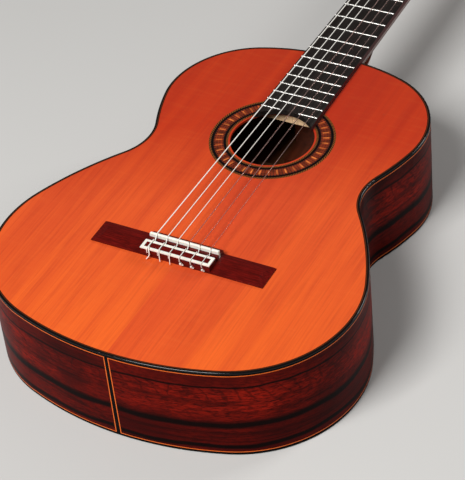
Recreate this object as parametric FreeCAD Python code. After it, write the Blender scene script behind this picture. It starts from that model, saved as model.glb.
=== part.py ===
import FreeCAD, Part
import math
import os

# A full-size classical guitar lying on its back, in millimetres.
# +X is the treble side, +Y runs from the tail to the head, +Z is up through the soundboard.
# X = 0 is the centre line, Z = 0 is the flat back, and Y = 0 is half way along the whole guitar.

Vec = FreeCAD.Vector

# ---- driving dimensions: body ----
BODY_DEPTH = 102.5          # back to soundboard, outside
TAIL_TO_NUT = 802.1         # outer tail edge to the nut's front face
# The outline from the tail to the neck: radius, sweep in degrees, +1 outwards or -1 for the waist.
OUTLINE = [
    ("tail", 320.8, 18.8, 1),
    ("lower_corner", 118.9, 91.9, 1),
    ("lower_flank", 359.8, 15.8, 1),
    ("waist", 53.6, 59.8, -1),
    ("upper_flank", 266.0, 10.6, 1),
    ("upper_bout", 92.9, 81.6, 1),
]
SHOULDER_RADIUS = 192.6     # the last arc, which brings the outline square to the centre line
TOP_THICKNESS = 2.4
BACK_THICKNESS = 2.6
RIB_THICKNESS = 2.2
BINDING_HEIGHT = 3.4
BINDING_ROUND = 1.1
PURFLING_LINE = 0.9         # width of the light line beside each binding and the tail graft
GRAFT_TOP = 1.7             # half widths of the tail graft at the soundboard and at the back
GRAFT_BOTTOM = 2.1
PURFLING_WIDTH = 0.6        # width of each of the two lines beside the top binding
PURFLING_DEPTH = 1.3
LINING_WIDTH = 5.5
LINING_HEIGHT = 13.0
CENTRE_STRIP_HALF = 1.2
BACK_BARS = [(418.0, 8.0), (520.0, 8.0), (672.0, 9.0)]      # from the nut, width
BACK_BAR_HEIGHT = 14.0
TAIL_BLOCK_LENGTH = 16.0

# ---- sound hole and rosette ----
HOLE_FROM_NUT = 472.5
HOLE_RADIUS = 42.0
ROSETTE_RADII = [43.8, 46.2, 48.0, 58.6, 60.4, 63.0]   # bounds of the five rings
ROSETTE_DEPTH = 1.1

# ---- bracing under the soundboard ----
HARMONIC_BARS = [(50.7, 13.2), (-52.0, 15.0)]      # from the hole's centre towards the neck, height
HARMONIC_BAR_WIDTH = 6.5
STRUTS_EACH_SIDE = 3
STRUT_GAP_NEAR, STRUT_GAP_FAR = 17.0, 34.0         # between struts at the hole and at the tail
STRUT_START = 60.0                                 # behind the hole's centre
STRUT_END_FROM_NUT = 768.0
STRUT_SHORTENING = 8.0                             # of each strut against its inner neighbour
STRUT_WIDTH, STRUT_HEIGHT = 4.0, 4.5
BRIDGE_PATCH = (92.0, 640.0, 681.0, 1.5)           # half width, start and end from the nut, thickness
HOLE_PATCH = (58.0, 47.0, 46.0, 1.4)               # half width, reach behind and ahead, thickness
HOLE_PATCH_SETBACK = 2.0

# ---- neck and fingerboard ----
SCALE = 650.0
FRET_COUNT = 19
NUT_WIDTH = 52.0
WIDTH_AT_12 = 60.2
BOARD_THICKNESS = 5.5
BOARD_END_FROM_NUT = 450.2
BOARD_END_RADIUS = 39.5     # the board's end follows the sound hole
FRET_WIDTH = 2.2
FRET_HEIGHT = 1.05
FRET_TANG = (0.6, 1.6)      # width, depth
NECK_DEPTH_NUT = 15.5
NECK_DEPTH_HEEL = 17.0
NECK_FULLNESS = 2.3         # exponent of the neck's rounded section
HEEL_CAP = 3.5
HEEL_CAP_HALF, HEEL_CAP_REACH = 12.0, 17.0
# The heel's sections: height above the back, half width, reach from the body.
HEEL_ROWS = [(HEEL_CAP, HEEL_CAP_HALF, HEEL_CAP_REACH), (25.0, 13.2, 19.0), (50.0, 17.0, 24.0),
             (68.0, 22.0, 33.0), (80.0, 26.5, 50.0), (88.5, 28.5, 72.0)]
HEEL_LAP = 4.0              # how far the heel starts inside the body's outline
NECK_TONGUE = 11.0          # half width of the neck where it passes between the ribs
BLOCK_HALF_WIDTH = 30.0
BLOCK_LENGTH = 46.0
FOOT_LENGTH = 76.0
FOOT_HEIGHT = 12.0

# ---- head ----
NUT_THICKNESS = 5.0
HEAD_TILT = 15.0            # degrees that the head leans back
HEAD_LENGTH = 192.0
HEAD_HALF = 36.0
HEAD_THICKNESS = 16.0
VENEER = 2.4
FLARE_END = 30.0            # along the head, where its sides become straight
# The flare's sections: along the head, half width, fullness of the section.
FLARE_ROWS = [(0.0, NUT_WIDTH / 2, NECK_FULLNESS), (10.0, 27.5, 2.9), (20.0, 31.6, 4.5),
              (FLARE_END, HEAD_HALF, 9.0)]
# The crest's right half: inwards from the side, down from the tip.
CREST_CORNERS = [(0.0, 24.0), (3.0, 17.0), (11.0, 14.0), (17.0, 11.6), (21.0, 6.0)]
SLOT_NEAR, SLOT_FAR = 40.0, 138.0
SLOT_INNER, SLOT_OUTER = 6.0, 23.0
RAMP_START = 16.0
RAMP_DEPTH = 6.3            # of the ramp's floor where it meets the slot

# ---- strings: number, diameter ----
STRING_DIAMETERS = {6: 1.12, 5: 0.90, 4: 0.75, 3: 1.02, 2: 0.82, 1: 0.71}
SPREAD_NUT = 43.0
SPREAD_SADDLE = 57.0
NUT_STRING_HEIGHT = 7.0     # underside of the strings above the soundboard plane, at the nut
SADDLE_HEIGHT = 11.6        # the same at the saddle
STRING_CLEAR = 0.06         # around the strings in the nut, saddle and bridge
SEAT_CLEAR = 0.05           # under the strings at the nut and saddle
ROLLER_CLEAR = 0.25         # between the strings and the rollers
TIE_CLEAR = 0.4             # between the strings and the tie block
STRING_END_DROP = 1.5       # each string ends this far under its roller's axis
STRING_BENDS = [6.0, 1.2, 1.2, 1.0, 1.0, 1.0]    # radii, from the nut to the tie block
NUT_OVER_STRINGS = 1.0      # how far the nut stands above the strings' underside
NUT_ROUND = 2.6

# ---- bridge ----
BRIDGE_FRONT = 645.0        # from the nut
BRIDGE_WIDTH = 28.1
BRIDGE_HALF = 90.5
WING_HEIGHT = 3.4
WING_CROWN = 60.0           # radius of the wings' rounded top
WING_END = 1.3              # thickness of the wings' ends
WING_RAMP, WING_RAMP_RADIUS = 8.6, 40.0
BLOCK_HALF = 36.4
SADDLE_ROUND = 1.3
SADDLE_BLOCK_ROUND = 2.5
TIE_HOLE_RADIUS = 0.9
SADDLE_LINE = 652.8
STRING_BEND = 0.9           # how far behind the saddle's middle the strings turn down
SADDLE_THICKNESS = 2.8
SADDLE_SLOT_DEPTH = 3.0     # floor of the saddle slot above the soundboard
SADDLE_BLOCK = (12.2, 7.4)  # width, height
CHANNEL_FLOOR = 3.0
TIE_BLOCK_WIDTH = 12.1
TIE_BLOCK_HEIGHT = 9.4
TIE_HOLE_HEIGHT = 5.0
INLAY_THICKNESS = 1.2
INLAY_BORDER = 2.8

# ---- tuning machines ----
MACHINE_SPOTS = [54.0, 89.0, 124.0]   # rollers along the head
ROLLER_DROP = 8.0           # roller axis under the face of the head's wood
ROLLER_RADIUS = 5.0
SHAFT_RADIUS = 3.0
RUNNING = 0.05              # radial clearance of each running fit
PLATE = 1.4
PLATE_HEIGHT = 15.0
GEAR_TEETH = 14
MODULE = 0.85
GEAR_THICKNESS = 3.4
GEAR_ROOT, GEAR_TIP = 4.9, 6.65
TOOTH_ROOT_HALF, TOOTH_TIP_HALF = 0.75, 0.30
WORM_ROOT, WORM_TIP = 1.95, 3.65
WORM_PITCH_RADIUS = 2.9
WORM_STANDOFF = 0.45        # from the plate's face to the thread
WORM_LENGTH = 9.0
WORM_THREAD_HALF = (0.8, 0.25)   # half widths of the thread at its root and its tip
PIN_RADIUS = 1.6
PIN_IN_BUTTON = 3.0
COLLAR_RADIUS, COLLAR_HEIGHT = 2.6, 1.0
EAR = 2.2
EAR_HALF = 3.2
EAR_PLAY = 0.3
HUB_RADIUS = 3.9
POST_START = 1.5
POST_END_RADIUS = 2.0
POST_STEP = 0.5             # the post's thin end starts this far behind the gear
SLEEVE_PLAY = 0.4
PLATE_BEFORE, PLATE_AFTER = 22.0, 17.0
# The button's sections: down from its top, half width, half thickness.
BUTTON_ROWS = [(0.0, 3.0, 3.0), (2.5, 4.0, 3.4), (8.0, 8.0, 4.4), (13.5, 8.0, 4.2), (17.0, 5.4, 3.0)]
SCREW_SPOTS = [36.0, 68.5, 103.5, 136.5]
SCREW_SHANK = 1.2
SCREW_DEPTH = 10.0
SCREW_DOME, SCREW_DOME_SUNK = 3.0, 1.9

# ---- worked out from the above ----
TOP = BODY_DEPTH
TILT = math.radians(HEAD_TILT)
HEAD_REACH = HEAD_LENGTH * math.cos(TILT) + VENEER * math.sin(TILT)
OVERALL = TAIL_TO_NUT + NUT_THICKNESS + HEAD_REACH
NUT_Y = TAIL_TO_NUT - OVERALL / 2
TAIL_Y = -OVERALL / 2
HOLE_Y = NUT_Y - HOLE_FROM_NUT
INNER = RIB_THICKNESS                       # the ribs' inner face, inwards from the outline
LINING_IN = INNER + LINING_WIDTH
PLATE_EDGE = INNER + 2 * PURFLING_WIDTH     # where the bare soundboard starts
WORM_PITCH = math.pi * MODULE
GEAR_PITCH_RADIUS = MODULE * GEAR_TEETH / 2
CENTRE_DISTANCE = GEAR_PITCH_RADIUS + WORM_PITCH_RADIUS
PLATE_FACE = HEAD_HALF + PLATE
MACHINE_X = PLATE_FACE + WORM_TIP + WORM_STANDOFF    # the plane of the gears and worm shafts


def box(x0, x1, y0, y1, z0, z1):
    return Part.makeBox(x1 - x0, y1 - y0, z1 - z0, Vec(x0, y0, z0))


def rod(radius, start, end):
    start = Vec(*start)
    way = Vec(*end) - start
    return Part.makeCylinder(radius, way.Length, start, way)


def join(shapes):
    return shapes[0].fuse(shapes[1:]).removeSplitter()


def group(shapes):
    return Part.makeCompound([solid for shape in shapes for solid in shape.Solids])


def fret_y(number):
    return NUT_Y - SCALE * (1 - 2 ** (-number / 12))


def on_head(shape):
    """Turns a shape from the head's own frame, which starts at the nut's far face."""
    placed = shape.copy()
    placed.rotate(Vec(0, 0, 0), Vec(1, 0, 0), -HEAD_TILT)
    placed.translate(Vec(0, NUT_Y + NUT_THICKNESS, TOP))
    return placed


def head_point(x, along, up):
    return Vec(x,
               NUT_Y + NUT_THICKNESS + along * math.cos(TILT) + up * math.sin(TILT),
               TOP - along * math.sin(TILT) + up * math.cos(TILT))


def string_x(number, spread):
    return (3.5 - number) * spread / 5


# ---- body ----

def outline_edges(inwards):
    """The body's outline as tangent arcs, moved inwards, for the treble side and then the bass."""
    turned = sum(side * sweep for _, _, sweep, side in OUTLINE)
    arcs = [(radius, sweep, side) for _, radius, sweep, side in OUTLINE]
    arcs.append((SHOULDER_RADIUS, 180 - turned, 1))
    at = Vec(0, TAIL_Y + inwards, 0)
    heading = 0.0
    treble = []
    for radius, sweep, side in arcs:
        radius -= side * inwards
        left = Vec(-math.sin(heading), math.cos(heading), 0)
        centre = at + left * (radius * side)
        points = []
        for part in (0.5, 1.0):
            way = heading + side * math.radians(sweep) * part
            points.append(centre - Vec(-math.sin(way), math.cos(way), 0) * (radius * side))
        treble.append(Part.Arc(at, points[0], points[1]).toShape())
        at = points[1]
        heading = way
    mirror = FreeCAD.Matrix()
    mirror.A11 = -1
    bass = [edge.transformGeometry(mirror) for edge in treble]
    across = Part.makeLine(at, Vec(-at.x, at.y, 0))
    return treble, across, bass


def body_prism(inwards, z0, z1):
    treble, across, bass = outline_edges(inwards)
    wire = Part.Wire(Part.__sortEdges__(treble + [across] + bass))
    face = Part.Face(wire)
    face.translate(Vec(0, 0, z0))
    return face.extrude(Vec(0, 0, z1 - z0))


def body_ring(outer, inner, z0, z1):
    return body_prism(outer, z0, z1).cut(body_prism(inner, z0 - 1, z1 + 1))


def halves(shape, gap=0.0):
    far = 600
    bass = shape.common(box(-far, -gap, -far, far, -far, far))
    treble = shape.common(box(gap, far, -far, far, -far, far))
    return bass, treble


def rosette_ring(inner, outer):
    low = TOP - ROSETTE_DEPTH
    ring = Part.makeCylinder(outer, ROSETTE_DEPTH, Vec(0, HOLE_Y, low))
    return ring.cut(Part.makeCylinder(inner, ROSETTE_DEPTH, Vec(0, HOLE_Y, low)))


def rosette():
    bounds = ROSETTE_RADII
    rings = [rosette_ring(bounds[i], bounds[i + 1]) for i in range(5)]
    return {"rosette_mosaic": rings[2],
            "rosette_dark_rings": group([rings[1], rings[3]]),
            "rosette_checked_bands": group([rings[0], rings[4]])}


def soundboard():
    low = TOP - TOP_THICKNESS
    plate = body_prism(INNER, low, TOP).cut(body_ring(INNER - 1, PLATE_EDGE, TOP - PURFLING_DEPTH, TOP + 1))
    plate = plate.cut(Part.makeCylinder(HOLE_RADIUS, 10, Vec(0, HOLE_Y, low - 5)))
    plate = plate.cut(rosette_ring(ROSETTE_RADII[0], ROSETTE_RADII[-1]))
    bass, treble = halves(plate)
    return {"soundboard_bass": bass, "soundboard_treble": treble}


def edge_trim():
    middle = INNER + PURFLING_WIDTH
    low = TOP - PURFLING_DEPTH
    top_binding = rounded_ring(TOP - BINDING_HEIGHT, TOP, True)
    back_binding = rounded_ring(0, BINDING_HEIGHT, False)
    line_top = body_ring(0, INNER, TOP - BINDING_HEIGHT - PURFLING_LINE, TOP - BINDING_HEIGHT)
    line_back = body_ring(0, INNER, BINDING_HEIGHT, BINDING_HEIGHT + PURFLING_LINE)
    light = body_ring(INNER, middle, low, TOP)
    dark = body_ring(middle, PLATE_EDGE, low, TOP)
    return top_binding, back_binding, [line_top, line_back, light], dark


def rounded_ring(z0, z1, up):
    """A binding, with its outer arris rounded over."""
    outer = body_prism(0, z0, z1)
    level = z1 if up else z0
    arris = [edge for edge in outer.Edges
             if abs(edge.BoundBox.ZMin - level) < 0.01 and abs(edge.BoundBox.ZMax - level) < 0.01]
    outer = outer.makeFillet(BINDING_ROUND, arris)
    return outer.cut(body_prism(INNER, z0 - 1, z1 + 1))


def tail_wedge(margin, low, high):
    corners = [(-GRAFT_BOTTOM - margin, low), (GRAFT_BOTTOM + margin, low),
               (GRAFT_TOP + margin, high), (-GRAFT_TOP - margin, high)]
    points = [Vec(x, TAIL_Y - 5, z) for x, z in corners]
    return Part.Face(Part.makePolygon(points + points[:1])).extrude(Vec(0, 15, 0))


def tail_graft():
    """The black wedge between the ribs at the tail, and the light lines along its two sides."""
    core = tail_wedge(0, BINDING_HEIGHT, TOP - BINDING_HEIGHT)
    space = tail_wedge(PURFLING_LINE, BINDING_HEIGHT, TOP - BINDING_HEIGHT)
    wall = body_ring(0, INNER, BINDING_HEIGHT, TOP - BINDING_HEIGHT)
    low = BINDING_HEIGHT + PURFLING_LINE
    lines = body_ring(0, INNER, low, TOP - low).common(space).cut(core)
    return wall.common(core), lines, space


def ribs(graft_space):
    low = BINDING_HEIGHT + PURFLING_LINE
    wall = body_ring(0, INNER, low, TOP - low).cut(graft_space)
    wall = wall.cut(box(-NECK_TONGUE, NECK_TONGUE, BODY_Y - 20, BODY_Y + 20, 0, TOP))
    bass, treble = halves(wall)
    return {"side_bass": bass, "side_treble": treble}


def neck_block():
    low, high = BACK_THICKNESS, TOP - TOP_THICKNESS
    half = BLOCK_HALF_WIDTH
    block = box(-half, half, BODY_Y - BLOCK_LENGTH, BODY_Y, low, high)
    foot = box(-half, half, BODY_Y - FOOT_LENGTH, BODY_Y - BLOCK_LENGTH + 1, low, low + FOOT_HEIGHT)
    return join([block, foot]).common(body_prism(INNER, low, high))


def linings():
    blocks = [neck_block(), tail_block()]
    result = []
    top, back = TOP - TOP_THICKNESS, BACK_THICKNESS
    for z0, z1 in ((top - LINING_HEIGHT, top), (back, back + LINING_HEIGHT)):
        result.append(body_ring(INNER, LINING_IN, z0, z1).cut(blocks))
    return group(result)


def tail_block():
    half = BLOCK_HALF_WIDTH
    block = box(-half, half, TAIL_Y, TAIL_Y + INNER + TAIL_BLOCK_LENGTH, BACK_THICKNESS, TOP - TOP_THICKNESS)
    return block.common(body_prism(INNER, BACK_THICKNESS, TOP - TOP_THICKNESS))


def back_plate():
    plate = body_prism(INNER, 0, BACK_THICKNESS)
    strip = plate.common(box(-CENTRE_STRIP_HALF, CENTRE_STRIP_HALF, -600, 600, -5, 5))
    bass, treble = halves(plate, CENTRE_STRIP_HALF)
    bars = []
    for from_nut, width in BACK_BARS:
        y = NUT_Y - from_nut
        bar = box(-250, 250, y - width / 2, y + width / 2, BACK_THICKNESS, BACK_THICKNESS + BACK_BAR_HEIGHT)
        bars.append(bar.common(body_prism(LINING_IN, 0, TOP)))
    return {"back_bass": bass, "back_treble": treble, "back_centre_strip": strip,
            "back_bars": group(bars)}


def top_bracing():
    under = TOP - TOP_THICKNESS
    inside = body_prism(LINING_IN, 0, TOP)
    bars = []
    half = HARMONIC_BAR_WIDTH / 2
    for ahead, height in HARMONIC_BARS:
        y = HOLE_Y + ahead
        bars.append(box(-250, 250, y - half, y + half, under - height, under).common(inside))
    struts = []
    for step in range(-STRUTS_EACH_SIDE, STRUTS_EACH_SIDE + 1):
        near = Vec(step * STRUT_GAP_NEAR, HOLE_Y - STRUT_START, under)
        end = NUT_Y - STRUT_END_FROM_NUT + abs(step) * STRUT_SHORTENING
        struts.append(strut(near, Vec(step * STRUT_GAP_FAR, end, under), STRUT_WIDTH, STRUT_HEIGHT))
    half, start, end, thickness = BRIDGE_PATCH
    patch = box(-half, half, NUT_Y - end, NUT_Y - start, under - thickness, under).cut(struts)
    half, behind, ahead, thickness = HOLE_PATCH
    plate = box(-half, half, HOLE_Y - behind, HOLE_Y + ahead, under - thickness, under)
    plate = plate.cut(Part.makeCylinder(HOLE_RADIUS + HOLE_PATCH_SETBACK, 10, Vec(0, HOLE_Y, under - 5)))
    return {"harmonic_bars": group(bars), "fan_struts": group(struts), "bridge_patch": patch,
            "sound_hole_patch": plate}


def strut(near, far, width, height):
    way = far - near
    bar = Part.makeBox(way.Length, width, height, Vec(0, -width / 2, -height))
    bar.rotate(Vec(0, 0, 0), Vec(0, 0, 1), math.degrees(math.atan2(way.y, way.x)))
    bar.translate(near)
    return bar


BODY_Y = body_prism(0, 0, 1).BoundBox.YMax      # the body's edge at the neck


# ---- neck, heel and head ----

def half_section(half, depth, fullness, place):
    """A neck section: flat on top, a rounded under side that squares up as fullness grows."""
    points = []
    for i in range(25):
        turn = math.pi * i / 24
        x = half * math.copysign(abs(math.cos(turn)) ** (2 / fullness), math.cos(turn))
        points.append(place(x, -depth * math.sin(turn) ** (2 / fullness)))
    curve = Part.BSplineCurve()
    curve.interpolate(points)
    return Part.Wire([curve.toShape(), Part.makeLine(points[-1], points[0])])


def board_half(distance):
    return (NUT_WIDTH + (WIDTH_AT_12 - NUT_WIDTH) * distance / (SCALE / 2)) / 2


def neck_shaft():
    sections = []
    reach = NUT_Y - BODY_Y + 12
    for part in (0.0, 0.35, 0.7, 1.0):
        distance = reach * part
        depth = NECK_DEPTH_NUT + (NECK_DEPTH_HEEL - NECK_DEPTH_NUT) * part
        place = lambda x, z, d=distance: Vec(x, NUT_Y - d, TOP + z)
        sections.append(half_section(board_half(distance), depth, NECK_FULLNESS, place))
    return Part.makeLoft(sections, True)


def head_flare():
    """The wood that turns from the neck's round section into the square head."""
    sections = []
    for along, half, fullness in FLARE_ROWS:
        place = lambda x, z, a=along: head_point(x, a, z)
        sections.append(half_section(half, HEAD_THICKNESS, fullness, place))
    return Part.makeLoft(sections, True)


def heel():
    sections = []
    for z, half, reach in HEEL_ROWS:
        points = []
        for i in range(17):
            turn = math.pi * i / 16
            ahead = (reach + HEEL_LAP) * math.sin(turn)
            points.append(Vec(half * math.cos(turn), BODY_Y - HEEL_LAP + ahead, z))
        curve = Part.BSplineCurve()
        curve.interpolate(points)
        sections.append(Part.Wire([curve.toShape(), Part.makeLine(points[-1], points[0])]))
    return Part.makeLoft(sections, True)


def heel_cap():
    cap = Part.makeCylinder(1, HEEL_CAP)
    shape = FreeCAD.Matrix()
    shape.A11 = HEEL_CAP_HALF
    shape.A22 = HEEL_CAP_REACH
    cap = cap.transformGeometry(shape)
    cap.translate(Vec(0, BODY_Y, 0))
    cap = cap.common(box(-30, 30, BODY_Y, BODY_Y + 40, 0, HEEL_CAP))
    return cap.cut(body_prism(0, -1, HEEL_CAP + 1))


def neck():
    outside = join([neck_shaft(), heel()]).cut(body_prism(0, -1, TOP + 5))
    low = BINDING_HEIGHT + PURFLING_LINE
    tongue = box(-NECK_TONGUE, NECK_TONGUE, BODY_Y - 5, BODY_Y + 3, low, TOP - low)
    return join([outside, tongue, neck_block()])


def head_outline():
    flare = Part.BSplineCurve()
    flare.interpolate([Vec(wide, along, 0) for along, wide, _ in FLARE_ROWS])
    corners = [Vec(HEAD_HALF - inwards, HEAD_LENGTH - down, 0) for inwards, down in CREST_CORNERS]
    right = [flare.toShape(),
             Part.makeLine(Vec(HEAD_HALF, FLARE_END, 0), corners[0]),
             Part.Arc(*corners[:3]).toShape(),
             Part.Arc(*corners[2:]).toShape()]
    tip = corners[-1]
    crest = Part.Arc(tip, Vec(0, HEAD_LENGTH, 0), Vec(-tip.x, tip.y, 0)).toShape()
    mirror = FreeCAD.Matrix()
    mirror.A11 = -1
    left = [edge.transformGeometry(mirror) for edge in right]
    base = Part.makeLine(Vec(-NUT_WIDTH / 2, 0, 0), Vec(NUT_WIDTH / 2, 0, 0))
    return Part.Face(Part.Wire(Part.__sortEdges__(right + [crest, base] + left)))


def slot_cutters():
    """Both slots through the head, each with a sloping ramp for the strings at its near end."""
    cutters = []
    for side in (-1, 1):
        x0, x1 = sorted((side * SLOT_INNER, side * SLOT_OUTER))
        slot = box(x0, x1, SLOT_NEAR, SLOT_FAR, -HEAD_THICKNESS - 5, VENEER + 5)
        profile = [Vec(x0, RAMP_START, VENEER), Vec(x0, RAMP_START, 10), Vec(x0, SLOT_NEAR + 1, 10),
                   Vec(x0, SLOT_NEAR + 1, -RAMP_DEPTH)]
        ramp = Part.Face(Part.makePolygon(profile + profile[:1])).extrude(Vec(x1 - x0, 0, 0))
        cutters += [slot, ramp]
    return cutters


def head_bores():
    bores = []
    for side in (-1, 1):
        for along in MACHINE_SPOTS:
            bores.append(rod(SHAFT_RADIUS + RUNNING, (side * 1.0, along, -ROLLER_DROP),
                             (side * (HEAD_HALF + 5), along, -ROLLER_DROP)))
        for along in SCREW_SPOTS:
            bores.append(rod(SCREW_SHANK, (side * (HEAD_HALF - SCREW_DEPTH), along, -ROLLER_DROP),
                             (side * (HEAD_HALF + 5), along, -ROLLER_DROP)))
    return bores


def head():
    face = head_outline()
    blank = face.extrude(Vec(0, 0, HEAD_THICKNESS))
    blank.translate(Vec(0, 0, -HEAD_THICKNESS))
    blank = blank.common(box(-80, 80, FLARE_END - 0.02, 400, -50, 50))
    blank = on_head(blank.cut(slot_cutters() + head_bores()))
    flare = head_flare().cut([on_head(cutter) for cutter in slot_cutters()])
    seat = box(-40, 40, NUT_Y, NUT_Y + NUT_THICKNESS, TOP - 40, TOP)
    sections = []
    for y in (NUT_Y, NUT_Y + NUT_THICKNESS):
        place = lambda x, z, y=y: Vec(x, y, TOP + z)
        sections.append(half_section(NUT_WIDTH / 2, NECK_DEPTH_NUT, NECK_FULLNESS, place))
    under_nut = Part.makeLoft(sections, True, True).common(seat)
    wood = join([under_nut, flare, blank])
    wood = wood.common(box(-80, 80, NUT_Y, NUT_Y + 400, -200, TOP))
    veneer = face.extrude(Vec(0, 0, VENEER)).cut(slot_cutters())
    return {"head": wood, "head_veneer": on_head(veneer)}


# ---- fingerboard ----

def fret_ends(number):
    """Where each piece of a fret starts and stops in X: the last one is cut in two by the hole."""
    y = fret_y(number)
    half = board_half(NUT_Y - y) - 0.6
    behind = y - FRET_WIDTH / 2 - HOLE_Y
    gap = math.sqrt(BOARD_END_RADIUS ** 2 - behind ** 2) + 0.8 if behind < BOARD_END_RADIUS else 0
    return [(-half, -gap), (gap, half)] if gap else [(-half, half)]


def fret_bar(number, x0, x1):
    y, z = fret_y(number), TOP + BOARD_THICKNESS
    low = [Vec(x0, y - FRET_WIDTH / 2, z), Vec(x0, y, z + FRET_HEIGHT), Vec(x0, y + FRET_WIDTH / 2, z)]
    crown = Part.Face(Part.Wire([Part.Arc(*low).toShape(), Part.makeLine(low[2], low[0])]))
    crown = crown.extrude(Vec(x1 - x0, 0, 0))
    return crown.fuse(fret_tang(number, x0, x1)).removeSplitter()


def fret_tang(number, x0, x1):
    y, z = fret_y(number), TOP + BOARD_THICKNESS
    width, depth = FRET_TANG
    return box(x0, x1, y - width / 2, y + width / 2, z - depth, z)


def fingerboard():
    pieces = [(number, x0, x1) for number in range(1, FRET_COUNT + 1) for x0, x1 in fret_ends(number)]
    y0, y1 = NUT_Y - BOARD_END_FROM_NUT, NUT_Y
    near, far = board_half(BOARD_END_FROM_NUT), NUT_WIDTH / 2
    corners = [Vec(-near, y0, TOP), Vec(near, y0, TOP), Vec(far, y1, TOP), Vec(-far, y1, TOP)]
    board = Part.Face(Part.makePolygon(corners + corners[:1])).extrude(Vec(0, 0, BOARD_THICKNESS))
    board = board.cut(Part.makeCylinder(BOARD_END_RADIUS, 20, Vec(0, HOLE_Y, TOP - 5)))
    board = board.cut([fret_tang(*piece) for piece in pieces])
    return {"fingerboard": board, "frets": group([fret_bar(*piece) for piece in pieces])}


# ---- strings ----

def tube(points, radius, bends):
    """A round bar along straight runs joined by tangent arcs."""
    edges = []
    at = points[0]
    for i in range(1, len(points) - 1):
        before = (points[i - 1] - points[i]).normalize()
        after = (points[i + 1] - points[i]).normalize()
        angle = before.getAngle(after)
        setback = bends[i - 1] / math.tan(angle / 2)
        middle = (before + after).normalize()
        centre = points[i] + middle * (bends[i - 1] / math.sin(angle / 2))
        start, end = points[i] + before * setback, points[i] + after * setback
        edges.append(Part.makeLine(at, start))
        edges.append(Part.Arc(start, centre - middle * bends[i - 1], end).toShape())
        at = end
    edges.append(Part.makeLine(at, points[-1]))
    path = Part.Wire(edges)
    ring = Part.Wire(Part.makeCircle(radius, points[0], points[1] - points[0]))
    return path.makePipeShell([ring], True, True)


def roller_spot(number):
    """Machine of a string: side of the head, place along it, and where the string meets the roller."""
    side = -1 if number > 3 else 1
    order = {6: 0, 5: 1, 4: 2, 3: 2, 2: 1, 1: 0}[number]
    return side, MACHINE_SPOTS[order], side * (17.6, 14.6, 11.2)[order]


def string_route(number):
    radius = STRING_DIAMETERS[number] / 2
    side, along, x_roller = roller_spot(number)
    lift = ROLLER_RADIUS + radius + ROLLER_CLEAR
    x_nut, x_saddle = string_x(number, SPREAD_NUT), string_x(number, SPREAD_SADDLE)
    rear = NUT_Y - BRIDGE_FRONT - BRIDGE_WIDTH
    front = rear + TIE_BLOCK_WIDTH
    over = TOP + TIE_BLOCK_HEIGHT + radius + TIE_CLEAR
    hole = TOP + TIE_HOLE_HEIGHT
    return [
        head_point(x_roller, along + lift + 0.4, -ROLLER_DROP - STRING_END_DROP),
        head_point(x_roller, along + lift + 0.2, -ROLLER_DROP + lift),
        Vec(x_nut, NUT_Y + NUT_THICKNESS / 2, TOP + NUT_STRING_HEIGHT + radius + SEAT_CLEAR),
        Vec(x_saddle, NUT_Y - SADDLE_LINE - STRING_BEND, TOP + SADDLE_HEIGHT + radius + SEAT_CLEAR),
        Vec(x_saddle, front + 0.6, hole),
        Vec(x_saddle, rear - radius - TIE_CLEAR, hole),
        Vec(x_saddle, rear - radius - TIE_CLEAR, over),
        Vec(x_saddle, front + radius + TIE_CLEAR, over),
        Vec(x_saddle, front + radius + TIE_CLEAR, hole + 3.6),
    ]


def string_bar(number, extra=0.0):
    radius = STRING_DIAMETERS[number] / 2
    lift = ROLLER_RADIUS + radius + ROLLER_CLEAR
    return tube(string_route(number), radius + extra, [lift] + STRING_BENDS)


def strings():
    return {"wound_strings": group([string_bar(n) for n in (6, 5, 4)]),
            "nylon_strings": group([string_bar(n) for n in (3, 2, 1)])}


def nut():
    height = NUT_STRING_HEIGHT + NUT_OVER_STRINGS
    half = NUT_WIDTH / 2
    blank = box(-half, half, NUT_Y, NUT_Y + NUT_THICKNESS, TOP, TOP + height)
    back_edge = [edge for edge in blank.Edges if edge.BoundBox.ZMin > TOP + height - 0.1
                 and edge.BoundBox.YMin > NUT_Y + NUT_THICKNESS - 0.1]
    blank = blank.makeFillet(NUT_ROUND, back_edge)
    for number in STRING_DIAMETERS:
        radius = STRING_DIAMETERS[number] / 2
        ends = string_route(number)[1:4]
        blank = blank.cut(tube(ends, radius + STRING_CLEAR, STRING_BENDS[:1]))
        above = box(-radius, radius, NUT_Y - 1, NUT_Y + NUT_THICKNESS + 1, NUT_STRING_HEIGHT, height + 2)
        above.translate(Vec(string_x(number, SPREAD_NUT), 0, TOP))
        blank = blank.cut(above)
    return blank


# ---- bridge ----

def wing_ramp(side):
    """Cutter that brings one end of the bridge down to a thin edge in a shallow hollow."""
    fall = WING_HEIGHT - WING_END
    chord = math.hypot(WING_RAMP, fall)
    rise = math.sqrt(WING_RAMP_RADIUS ** 2 - chord ** 2 / 4)
    x = BRIDGE_HALF - WING_RAMP / 2 + rise * fall / chord
    z = TOP + (WING_HEIGHT + WING_END) / 2 + rise * WING_RAMP / chord
    return rod(WING_RAMP_RADIUS, (side * x, NUT_Y - BRIDGE_FRONT - 60, z), (side * x, NUT_Y - BRIDGE_FRONT + 30, z))


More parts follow.
